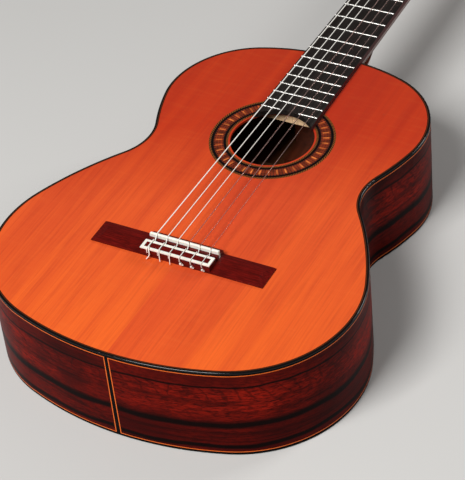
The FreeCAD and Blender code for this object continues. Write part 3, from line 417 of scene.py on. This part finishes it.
def black_gloss(name, tone, gloss):
    """Black, dull on upright faces and polished on the top edge."""
    finish = Finish(name, roughness=0.3, specular_ior_level=0.02, coat_roughness=0.12)
    edge = finish.math("GREATER_THAN", finish.split(finish.place())[2], TOP - BINDING_EDGE)
    finish.put(finish.shader.inputs["Coat Weight"], finish.math("MULTIPLY", edge, gloss))
    grain = finish.noise(finish.place((300, 300, 300)), 1.0, 3.0)
    finish.colour(finish.mix(grain, tone, shade(tone, 1.6)))
    finish.roughness(grain, 0.2, 0.35)
    return finish.material


def light_line(tone):
    """The light lines: bright on the ribs, duller on top under the soundboard's varnish."""
    finish = Finish("light_line", roughness=0.4, specular_ior_level=0.15, coat_weight=0.1,
                    coat_roughness=0.08)
    streaks = finish.noise(finish.place((260, 260, 900)), 1.0, 3.0, 0.6)
    body = finish.mix(streaks, shade(tone, 1.25), shade(tone, 0.6))
    on_top = finish.math("GREATER_THAN", finish.split(finish.place())[2], TOP - 0.2 * MM)
    finish.colour(finish.mix(on_top, body, (0.11, 0.026, 0.006)))
    finish.roughness(streaks, 0.25, 0.4)
    return finish.material


INLAY_GLOSS = {"roughness": 0.4, "specular_ior_level": 0.3, "coat_weight": 0.2, "coat_roughness": 0.06}


def polar(finish):
    """Angle around the sound hole in turns, and distance from its centre."""
    x, y, _ = finish.split(finish.place(shift=(-HOLE_X, -HOLE_Y, 0)))
    angle = finish.math("DIVIDE", finish.math("ARCTAN2", y, x), 2 * math.pi)
    square = finish.math("ADD", finish.math("MULTIPLY", x, x), finish.math("MULTIPLY", y, y))
    across = finish.math("SQRT", square)
    return finish.math("ADD", angle, 1.0), across


def mosaic(settings):
    """Red-brown mosaic ring: light radial tiles between blocks of small dark checks."""
    finish = Finish("rosette_mosaic", **INLAY_GLOSS)
    angle, across = polar(finish)
    inner = MOSAIC_OUTER - MOSAIC_WIDTH
    band = finish.math("DIVIDE", finish.math("SUBTRACT", across, inner), MOSAIC_WIDTH)
    ring = finish.math("ABSOLUTE", finish.math("SUBTRACT", band, 0.5))
    column = finish.math("FRACT", finish.math("MULTIPLY", angle, settings.tile_count * 3))
    row = finish.math("FRACT", finish.math("MULTIPLY", band, 4))
    checks = finish.math("MULTIPLY", finish.ramp(column, (0.42, 1.0), (0.55, 0.0)),
                         finish.ramp(row, (0.10, 0.0), (0.25, 1.0), (0.75, 1.0), (0.90, 0.0)))
    rows = finish.ramp(ring, (0.08, 0.7), (0.22, 1.0))
    cloud = finish.noise(finish.place((150, 150, 1)), 1.0, 3.0)
    ground = finish.mix(finish.ramp(cloud, (0.3, 0.0), (0.7, 1.0)), settings.ground_tone,
                        shade(settings.ground_tone, 3.6))
    body = finish.mix(finish.math("MULTIPLY", finish.math("MULTIPLY", checks, rows), 0.95), ground,
                      (0.006, 0.002, 0.001))
    tile = finish.math("FRACT", finish.math("MULTIPLY", angle, settings.tile_count))
    near = finish.math("ABSOLUTE", finish.math("SUBTRACT", tile, 0.5))
    between = finish.ramp(near, (0.10, 0.0), (0.34, 1.0))
    body = finish.mix(finish.math("MULTIPLY", between, 0.45), body, (0.05, 0.010, 0.004))
    glow = finish.math("MULTIPLY", finish.ramp(near, (0.05, 1.0), (0.13, 0.0)),
                       finish.ramp(ring, (0.22, 1.0), (0.36, 0.0)))
    spark = finish.noise(finish.place((60, 60, 1)), 1.0, 2.0)
    glow = finish.math("MULTIPLY", glow, finish.ramp(spark, (0.36, 0.35), (0.62, 1.0)))
    body = finish.mix(finish.math("MULTIPLY", glow, 0.85), body, settings.tile_tone)
    finish.colour(finish.mix(finish.ramp(ring, (0.440, 0.0), (0.455, 1.0)), body, (0.005, 0.003, 0.003)))
    finish.roughness(cloud, 0.35, 0.45)
    return finish.material


def checked_band(settings):
    """Slanting light and dark checks, as in a rope purfling."""
    finish = Finish("checked_band", **INLAY_GLOSS)
    angle, across = polar(finish)
    slant = finish.math("ADD", finish.math("MULTIPLY", angle, 140), finish.math("MULTIPLY", across, 420))
    checks = finish.ramp(finish.math("FRACT", slant), (0.0, 0.0), (0.12, 1.0), (0.60, 1.0), (0.75, 0.0))
    cloud = finish.noise(finish.place((90, 90, 1)), 1.0, 2.0)
    light = finish.mix(cloud, settings.band_tone, shade(settings.band_tone, 0.5))
    body = finish.mix(checks, light, (0.010, 0.005, 0.003))
    middle = MOSAIC_OUTER - MOSAIC_WIDTH / 2
    away = finish.math("ABSOLUTE", finish.math("SUBTRACT", across, middle))
    edge = finish.math("LESS_THAN", away, BAND_EDGE)
    finish.colour(finish.mix(edge, body, (0.005, 0.003, 0.003)))
    finish.roughness(cloud, 0.35, 0.45)
    return finish.material


def bone(tone):
    finish = Finish("bone", roughness=0.3, subsurface_weight=0.15, subsurface_scale=1.5 * MM)
    cloud = finish.noise(finish.place((220, 90, 220)), 1.0, 4.0)
    finish.colour(finish.mix(finish.ramp(cloud, (0.35, 0.0), (0.7, 1.0)), tone, shade(tone, 0.84)))
    finish.roughness(cloud, 0.22, 0.4)
    return finish.material


def metal(name, tone, low, high, grain=(400, 400, 400)):
    finish = Finish(name, metallic=1.0)
    scratches = finish.noise(finish.place(grain), 1.0, 3.0, 0.6)
    finish.colour(finish.mix(scratches, tone, shade(tone, 0.8)))
    finish.roughness(scratches, low, high)
    finish.bump(scratches, 0.05, 0.02 * MM)
    return finish.material


def wound_wire(tone):
    finish = Finish("wound_wire", specular_ior_level=0.9)
    turns = finish.waves(finish.place((60, 1000, 60)), 0.62, 0.6, 1.0, 2.0, "Y")
    # The grooves between the turns are painted a little darker: painted shade in the grooves.
    finish.colour(finish.mix(finish.ramp(turns, (0.05, 1.0), (0.35, 0.0)), tone, shade(tone, 0.9)))
    finish.roughness(turns, 0.45, 0.35)
    finish.bump(turns, 0.4, 0.08 * MM)
    return finish.material


def nylon(name, tone, clear):
    """Clear nylon: what lies behind shows through, tinted. It is duller and whiter behind the saddle."""
    finish = Finish(name, roughness=0.3, ior=1.20, specular_ior_level=0.05)
    cloud = finish.noise(finish.place((200, 20, 200)), 1.0, 2.0)
    behind = finish.math("LESS_THAN", finish.split(finish.place())[1], SADDLE_Y)
    body = finish.mix(cloud, tone, shade(tone, 0.85))
    finish.colour(finish.mix(behind, body, (0.96, 0.93, 0.86)))
    clearness = finish.math("MULTIPLY_ADD", behind, 0.15 - clear, clear)
    finish.put(finish.shader.inputs["Transmission Weight"], clearness)
    finish.roughness(cloud, 0.24, 0.34)
    return finish.material


def pearl(name, tone):
    finish = Finish(name, roughness=0.2, coat_weight=0.6, coat_roughness=0.05, subsurface_weight=0.1,
                    subsurface_scale=1.5 * MM)
    swirl = finish.noise(finish.place((110, 110, 110)), 1.0, 4.0, 0.6, 2.5)
    finish.colour(finish.mix(finish.ramp(swirl, (0.35, 0.0), (0.65, 1.0)), tone, shade(tone, 0.72)))
    finish.roughness(swirl, 0.15, 0.3)
    return finish.material


# ---- helpers for pieces ----

def dress(node, material):
    """Gives a CAD node its finish."""
    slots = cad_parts[node].data.materials
    slots.clear()
    slots.append(material)


def piece(name, mesh, material, body):
    """Turns a finished bmesh into a piece that rides on a body."""
    data = bpy.data.meshes.new(name)
    mesh.to_mesh(data)
    mesh.free()
    made = bpy.data.objects.new(name, data)
    bpy.context.scene.collection.objects.link(made)
    data.materials.append(material)
    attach(made, body)
    return made


def smooth(made):
    for face in made.data.polygons:
        face.use_smooth = True


def ring(mesh, centre, normal, radius, sides=10):
    """A circle of edges about a point, square to a direction."""
    turn = normal.to_track_quat("Z", "Y").to_matrix().to_4x4()
    place = Matrix.Translation(centre) @ turn
    made = bmesh.ops.create_circle(mesh, radius=radius, segments=sides, matrix=place)
    return made["verts"], list({edge for vert in made["verts"] for edge in vert.link_edges})


def close(mesh):
    """Caps every open end and turns the faces outwards."""
    bmesh.ops.remove_doubles(mesh, verts=mesh.verts[:], dist=1e-7)
    bmesh.ops.holes_fill(mesh, edges=mesh.edges[:], sides=0)
    bmesh.ops.recalc_face_normals(mesh, faces=mesh.faces[:])


def through(points, steps=6):
    """Points on a smooth curve through some given points."""
    points = [Vector(point) for point in points]
    padded = [2 * points[0] - points[1]] + points + [2 * points[-1] - points[-2]]
    run = []
    for a, b, c, d in zip(padded, padded[1:], padded[2:], padded[3:]):
        for i in range(steps):
            t = i / steps
            run.append(0.5 * (2 * b + (c - a) * t + (2 * a - 5 * b + 4 * c - d) * t ** 2
                              + (3 * b - a - 3 * c + d) * t ** 3))
    return run + [points[-1]]


def sweep(mesh, points, radius, sides=10):
    """Sweeps a round section along a run of points."""
    heading = (points[1] - points[0]).normalized()
    verts, edges = ring(mesh, points[0], heading, radius, sides)
    for i in range(1, len(points)):
        ahead = (points[min(i + 1, len(points) - 1)] - points[i - 1]).normalized()
        geometry = bmesh.ops.extrude_edge_only(mesh, edges=edges)["geom"]
        verts = [item for item in geometry if isinstance(item, bmesh.types.BMVert)]
        linked = {edge for vert in verts for edge in vert.link_edges}
        edges = [edge for edge in linked if all(vert in verts for vert in edge.verts)]
        turn = heading.rotation_difference(ahead).to_matrix().to_4x4()
        move = Matrix.Translation(points[i]) @ turn @ Matrix.Translation(-points[i - 1])
        bmesh.ops.transform(mesh, matrix=move, verts=verts)
        heading = ahead


def coil(mesh, centre, axis, radial, reach, radius, turns, pitch, steps=20):
    """Winds a round section about an axis, starting at centre + radial * reach."""
    verts, edges = ring(mesh, centre + radial * reach, axis.cross(radial), radius)
    count = max(1, round(turns * steps))
    bmesh.ops.spin(mesh, geom=verts + edges, cent=centre, axis=axis, dvec=axis * pitch * turns / count,
                   angle=2 * math.pi * turns, steps=count, use_duplicate=False)


def slotted_head(mesh, centre, axis, radius, height, slot):
    """A round screw head with a straight slot across it."""
    turn = axis.to_track_quat("Z", "Y").to_matrix().to_4x4()
    place = Matrix.Translation(centre) @ turn
    side = turn @ Vector((1, 0, 0))
    base = Matrix.Translation((0, 0, height * 0.2))
    bmesh.ops.create_cone(mesh, cap_ends=True, segments=28, radius1=radius, radius2=radius,
                          depth=height * 0.4, matrix=place @ base)
    for way in (-1, 1):
        before = set(mesh.verts)
        bmesh.ops.create_cone(mesh, cap_ends=True, segments=28, radius1=radius, radius2=radius * 0.72,
                              depth=height * 0.6, matrix=place @ Matrix.Translation((0, 0, height * 0.7)))
        new = [vert for vert in mesh.verts if vert not in before]
        edges = {edge for vert in new for edge in vert.link_edges}
        faces = {face for vert in new for face in vert.link_faces}
        wall = centre + side * way * slot / 2
        cut = bmesh.ops.bisect_plane(mesh, geom=new + list(edges) + list(faces), plane_co=wall,
                                     plane_no=side * way, clear_inner=True)["geom_cut"]
        bmesh.ops.edgeloop_fill(mesh, edges=[item for item in cut if isinstance(item, bmesh.types.BMEdge)])
    bmesh.ops.recalc_face_normals(mesh, faces=mesh.faces[:])


class GuitarOperator:
    bl_options = {"REGISTER", "UNDO"}


class GUITAR_OT_soundboard(GuitarOperator, bpy.types.Operator):
    """Finish the two halves of the cedar soundboard and the wood inside the body"""
    bl_idname = "guitar.soundboard"
    bl_label = "Soundboard"

    def execute(self, context):
        settings = context.scene.guitar_soundboard
        dress("soundboard_bass", cedar("cedar_bass_half", settings, 0.30, 0.0))
        dress("soundboard_treble", cedar("cedar_treble_half", settings, 1.70, 1.0))
        inside = spruce("spruce", (0.98, 0.66, 0.38))
        for node in ("sound_hole_patch", "fan_struts", "harmonic_bars", "bridge_patch"):
            dress(node, inside)
        # Back bars and linings: spruce painted dark as painted shade, standing for the shade deep inside the
        # body.
        shaded = spruce("shaded_spruce", (0.20, 0.10, 0.045))
        for node in ("back_bars", "linings"):
            dress(node, shaded)
        return {"FINISHED"}


class GUITAR_OT_rosette(GuitarOperator, bpy.types.Operator):
    """Finish the rings around the sound hole"""
    bl_idname = "guitar.rosette"
    bl_label = "Rosette"

    def execute(self, context):
        settings = context.scene.guitar_rosette
        dress("rosette_mosaic", mosaic(settings))
        dress("rosette_checked_bands", checked_band(settings))
        dress("rosette_dark_rings", black_gloss("rosette_black", (0.005, 0.003, 0.003), 0.12))
        return {"FINISHED"}


class GUITAR_OT_body(GuitarOperator, bpy.types.Operator):
    """Finish the ribs, the back, the bindings and the lines beside them"""
    bl_idname = "guitar.body"
    bl_label = "Ribs, back and bindings"

    def execute(self, context):
        settings = context.scene.guitar_body
        dress("side_bass", rib("rosewood_bass_rib", settings, 0.1))
        dress("side_treble", rib("rosewood_treble_rib", settings, 0.5))
        dress("back_bass", rosewood("rosewood_bass_back", settings, (55, 5, 30), 0.2, 0.6, BACK_INSIDE))
        dress("back_treble", rosewood("rosewood_treble_back", settings, (-55, 5, 30), 0.2, 0.6, BACK_INSIDE))
        binding = black_gloss("binding_black", tuple(settings.binding_tone), 0.6)
        for node in ("top_binding", "back_binding", "dark_purfling", "tail_graft", "heel_cap"):
            dress(node, binding)
        line = light_line(tuple(settings.line_tone))
        dress("light_purfling", line)
        dress("back_centre_strip", line)
        return {"FINISHED"}


class GUITAR_OT_neck(GuitarOperator, bpy.types.Operator):
    """Finish the neck, head, fingerboard, frets and nut"""
    bl_idname = "guitar.neck"
    bl_label = "Neck and head"

    def execute(self, context):
        settings = context.scene.guitar_neck
        wood = neck_wood(settings)
        for node in ("neck", "head", "tail_block"):
            dress(node, wood)
        dress("head_veneer", rosewood("rosewood_veneer", context.scene.guitar_body, (60, 6, 30), 0.7))
        dress("fingerboard", ebony(settings))
        dress("frets", metal("nickel_silver", tuple(settings.fret_tone), 0.26, 0.34, (250, 250, 250)))
        dress("nut", bone(tuple(settings.bone_tone)))
        return {"FINISHED"}


class GUITAR_OT_bridge(GuitarOperator, bpy.types.Operator):
    """Finish the bridge, the saddle and the bone frame of the tie block"""
    bl_idname = "guitar.bridge"
    bl_label = "Bridge"

    def execute(self, context):
        dress("bridge", rosewood("rosewood_bridge", context.scene.guitar_body, (9, 150, 150), 0.9, 0.12,
                                 None, 0.35, 1.9))
        ivory = bone(tuple(context.scene.guitar_neck.bone_tone))
        dress("saddle", ivory)
        dress("tie_block_inlay", ivory)
        return {"FINISHED"}


class GUITAR_OT_strings(GuitarOperator, bpy.types.Operator):
    """Finish the six strings, wind them on their posts and tie them at the bridge"""
    bl_idname = "guitar.strings"
    bl_label = "Strings"

    def execute(self, context):
        settings = context.scene.guitar_strings
        wire = wound_wire(tuple(settings.wire_tone))
        clear = nylon("nylon", tuple(settings.nylon_tone), 0.85)
        knot = nylon("nylon_knot", (0.96, 0.88, 0.66), 0.25)
        dress("wound_strings", wire)
        dress("nylon_strings", clear)
        for number in STRING_NUMBERS:
            bass = number in BASS_STRINGS
            self.winding(number, wire if bass else knot, "wound_wire" if bass else "nylon", settings.turns)
        self.ties(BASS_STRINGS, "bass_string_ties", wire, "wound_wire")
        self.ties((3, 2, 1), "treble_string_ties", knot, "nylon")
        return {"FINISHED"}

    def winding(self, number, material, slot, turns):
        """The turns of a string on its post, and the end that stands out of them."""
        low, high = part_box(f"roller_{number}")
        radius = STRING_DIAMETER[number] / 2
        way = WIND_WAY[number]
        start = POST_SPOT[number] * MM + way * (2 * radius + FIRST_TURN_GAP)
        centre = Vector((start, (low[1] + high[1]) / 2, (low[2] + high[2]) / 2))
        reach = (high[1] - low[1]) / 2 + radius
        radial = (HEAD_FORWARD * math.cos(WINDING_END) - HEAD_UP * math.sin(WINDING_END)).normalized()
        mesh = bmesh.new()
        pitch = (2 * radius + TURN_GAP) * way
        coil(mesh, centre, Vector((-1, 0, 0)), radial, reach, radius, turns, -pitch, 28)
        end = centre + Vector((pitch * turns, 0, 0)) + radial * reach
        down = Vector((-1, 0, 0)).cross(radial)
        stub = through([end, end + down * 1.4 * MM + radial * 0.3 * MM,
                        end + down * 2.2 * MM + radial * 1.6 * MM])
        sweep(mesh, stub, radius * 0.92)
        close(mesh)
        smooth(piece(f"string_{number}_winding", mesh, material, f"string_post_{number}"))

    def ties(self, numbers, name, material, slot):
        """Turns about the strings in front of the tie block, and the ends left behind it."""
        mesh = bmesh.new()
        rise = Vector((0, 1, 1)).normalized()
        for number in numbers:
            radius = STRING_DIAMETER[number] / 2
            x = (3.5 - number) * SADDLE_PITCH
            hold = Vector((x, TIE_FRONT + 1.5 * MM, TIE_HOLE + 0.9 * MM))
            coil(mesh, hold, rise, Vector((1, 0, 0)), 2 * radius + 0.05 * MM, radius, HITCH_TURNS,
                 2.1 * radius)
            if number in BASS_STRINGS:
                sweep(mesh, through(self.loose_end(number, x, radius)), radius * END_TAPER)
            else:
                bead = Vector((x + 0.9 * MM, TIE_REAR - 1.9 * MM, TIE_HOLE - 0.8 * MM))
                coil(mesh, bead, Vector((1, 0, 0)), Vector((0, 0, 1)), 0.95 * MM, radius, BEAD_TURNS,
                     2.2 * radius)
                end = bead + Vector((3.6 * radius, 0, -0.9 * MM))
                tip = [end, end + Vector((1.0, -0.5, 0.2)) * MM, end + Vector((1.9, -0.3, 0.9)) * MM]
                sweep(mesh, through(tip), radius * END_TAPER)
        close(mesh)
        smooth(piece(name, mesh, material, "guitar"))

    def loose_end(self, number, x, radius):
        """Path of the short end of a bass string, down behind the tie block."""
        side = x + 2.2 * radius
        top = TIE_TOP + radius + 0.3 * MM
        start = [Vector((side, TIE_REAR + 2.4 * MM, top)),
                 Vector((side + 0.2 * MM, TIE_REAR + 0.2 * MM, top))]
        if number == 6:
            return start + [Vector((side + 1.6 * MM, TIE_REAR - 1.9 * MM, top - 2.4 * MM)),
                            Vector((side + 1.9 * MM, TIE_REAR - 2.9 * MM, top - 5.6 * MM)),
                            Vector((side - 0.6 * MM, TIE_REAR - 4.6 * MM, TOP + radius + 0.2 * MM))]
        lean = 2.7 * MM if number == 5 else 1.9 * MM
        return start + [Vector((side + lean * 0.4, TIE_REAR - 1.9 * MM, top - 2.6 * MM)),
                        Vector((side + lean, TIE_REAR - 4.2 * MM, TOP + radius + 1.2 * MM))]


class GUITAR_OT_tuners(GuitarOperator, bpy.types.Operator):
    """Finish the six tuning machines"""
    bl_idname = "guitar.tuners"
    bl_label = "Tuning machines"

    def execute(self, context):
        settings = context.scene.guitar_tuners
        steel = metal("polished_steel", (0.62, 0.62, 0.63), 0.15, 0.3)
        brass = metal("gear_brass", tuple(settings.gear_tone), 0.25, 0.4)
        button = pearl("button_pearl", tuple(settings.button_tone))
        post = pearl("post_ivory", (0.84, 0.80, 0.72))
        dress("tuner_plates", metal("plate_brass", tuple(settings.plate_tone), 0.12, 0.28))
        dress("tuner_screws", steel)
        for number in STRING_NUMBERS:
            dress(f"roller_{number}", post)
            dress(f"gear_{number}", brass)
            dress(f"worm_{number}", steel)
            dress(f"button_{number}", button)
            self.gear_screw(number, steel)
        return {"FINISHED"}

    def gear_screw(self, number, material):
        """The slotted screw that holds a gear on its post."""
        low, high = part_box(f"gear_{number}")
        way = -1 if number in BASS_STRINGS else 1
        face = low[0] if way < 0 else high[0]
        centre = Vector((face, (low[1] + high[1]) / 2, (low[2] + high[2]) / 2))
        mesh = bmesh.new()
        slotted_head(mesh, centre, Vector((way, 0, 0)), *GEAR_SCREW)
        piece(f"gear_screw_{number}", mesh, material, f"string_post_{number}")


class GUITAR_OT_stage(GuitarOperator, bpy.types.Operator):
    """Set out the floor, the lights and the camera"""
    bl_idname = "guitar.stage"
    bl_label = "Stage"

    def execute(self, context):
        settings = context.scene.guitar_stage
        scene = context.scene
        scene.view_settings.view_transform = "Standard"
        mesh = bmesh.new()
        bmesh.ops.create_grid(mesh, x_segments=1, y_segments=1, size=FLOOR_HALF,
                              matrix=Matrix.Translation((0, 0, -FLOOR_GAP)))
        data = bpy.data.meshes.new("floor")
        mesh.to_mesh(data)
        mesh.free()
        floor = bpy.data.objects.new("floor", data)
        scene.collection.objects.link(floor)
        paper = Finish("pale_floor", roughness=0.8)
        cloud = paper.noise(paper.place((1.5, 1.5, 1)), 1.0, 2.0)
        tone = tuple(settings.floor_tone)
        paper.colour(paper.mix(cloud, tone, shade(tone, 0.97)))
        data.materials.append(paper.material)
        world = bpy.data.worlds.new("studio")
        world.use_nodes = True
        background = world.node_tree.nodes["Background"]
        background.inputs["Color"].default_value = WORLD_TONE
        background.inputs["Strength"].default_value = WORLD_STRENGTH
        scene.world = world
        for name, (spot, share, size) in LIGHTS.items():
            self.light(name, spot, settings.key_power * share, size)
        self.camera(settings)
        return {"FINISHED"}

    def light(self, name, spot, power, size):
        lamp = bpy.data.lights.new(name, "AREA")
        lamp.energy = power
        lamp.size = size
        holder = bpy.data.objects.new(name, lamp)
        bpy.context.scene.collection.objects.link(holder)
        holder.location = spot
        holder.rotation_euler = (LIGHTS_AIM - Vector(spot)).to_track_quat("-Z", "Y").to_euler()

    def camera(self, settings):
        """The camera looks down at the soundboard from beside the tail, a little rolled."""
        lens = bpy.data.cameras.new("camera")
        lens.lens = settings.lens
        lens.clip_end = 50
        holder = bpy.data.objects.new("camera", lens)
        bpy.context.scene.collection.objects.link(holder)
        turn = (AIM - EYE).to_track_quat("-Z", "Y").to_matrix() @ Matrix.Rotation(ROLL, 3, "Z")
        holder.location = EYE
        holder.rotation_euler = turn.to_euler()
        bpy.context.scene.camera = holder


OPERATORS = (GUITAR_OT_stage, GUITAR_OT_soundboard, GUITAR_OT_rosette, GUITAR_OT_body, GUITAR_OT_neck,
             GUITAR_OT_bridge, GUITAR_OT_strings, GUITAR_OT_tuners)


class GUITAR_PT_panel(bpy.types.Panel):
    """Lists the pieces of the guitar and their settings"""
    bl_idname = "GUITAR_PT_panel"
    bl_label = "Classical guitar"
    bl_space_type = "VIEW_3D"
    bl_region_type = "UI"
    bl_category = "Guitar"

    def draw(self, context):
        for operator in OPERATORS:
            self.layout.operator(operator.bl_idname)
        for holder, group in SETTINGS.items():
            column = self.layout.column(heading=holder.replace("_", " "))
            for name in group.__annotations__:
                column.prop(getattr(context.scene, holder), name)


def register():
    for group in SETTINGS.values():
        bpy.utils.register_class(group)
    for holder, group in SETTINGS.items():
        setattr(bpy.types.Scene, holder, PointerProperty(type=group))
    for operator in OPERATORS:
        bpy.utils.register_class(operator)
    bpy.utils.register_class(GUITAR_PT_panel)


def unregister():
    bpy.utils.unregister_class(GUITAR_PT_panel)
    for operator in reversed(OPERATORS):
        bpy.utils.unregister_class(operator)
    for holder in SETTINGS:
        delattr(bpy.types.Scene, holder)
    for group in SETTINGS.values():
        bpy.utils.unregister_class(group)


def main():
    register()
    for operator in OPERATORS:
        area, name = operator.bl_idname.split(".")
        getattr(getattr(bpy.ops, area), name)()


if __name__ == "__main__":
    main()
